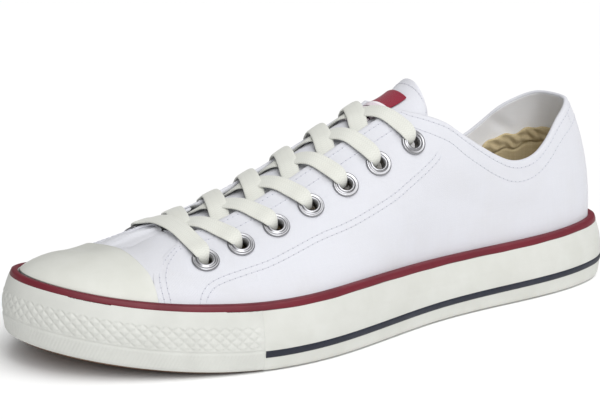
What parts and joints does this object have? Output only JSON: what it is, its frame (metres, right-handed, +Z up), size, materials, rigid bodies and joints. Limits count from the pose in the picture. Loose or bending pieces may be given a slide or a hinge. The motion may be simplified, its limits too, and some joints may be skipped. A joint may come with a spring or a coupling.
{
  "type": "low canvas sneaker",
  "caption": "Low canvas sneaker for the left foot, with a rubber toe cap, striped rubber sole wall, metal eyelets and a flat lace, standing empty on its sole.",
  "frame": {"origin": "middle of the underside of the whole shoe", "axes": "+X from heel to toe, +Y to the outer side of the foot, +Z up"},
  "size_m": [0.2978, 0.1064, 0.1008],
  "materials": {
    "sole_rubber": "matte brown",
    "wall_rubber": "satin off-white",
    "red_rubber": "satin dark red",
    "navy_rubber": "satin navy",
    "cap_rubber": "smooth off-white",
    "insole_cloth": "tan cloth",
    "canvas": "plain woven canvas",
    "label_cloth": "plain woven label",
    "eyelet_metal": "polished nickel",
    "lace_cotton": "flat woven cotton"
  },
  "bodies": {
    "root": {"outsole": "sole_rubber", "foxing": "wall_rubber", "toe_bumper": "wall_rubber", "stripe_top": "red_rubber", "stripe_side": "navy_rubber", "toe_cap": "cap_rubber", "insole": "insole_cloth", "upper": "canvas", "heel_strip": "canvas", "tongue": "canvas", "tongue_label": "label_cloth", "eyelet_outer_1": "eyelet_metal", "eyelet_outer_2": "eyelet_metal", "eyelet_outer_3": "eyelet_metal", "eyelet_outer_4": "eyelet_metal", "eyelet_outer_5": "eyelet_metal", "eyelet_outer_6": "eyelet_metal", "eyelet_outer_7": "eyelet_metal", "eyelet_inner_1": "eyelet_metal", "eyelet_inner_2": "eyelet_metal", "eyelet_inner_3": "eyelet_metal", "eyelet_inner_4": "eyelet_metal", "eyelet_inner_5": "eyelet_metal", "eyelet_inner_6": "eyelet_metal", "eyelet_inner_7": "eyelet_metal", "lace_bar": "lace_cotton", "lace_cross_1": "lace_cotton", "lace_cross_2": "lace_cotton", "lace_cross_3": "lace_cotton", "lace_cross_4": "lace_cotton", "lace_cross_5": "lace_cotton", "lace_cross_6": "lace_cotton"}
  },
  "joints": []
}
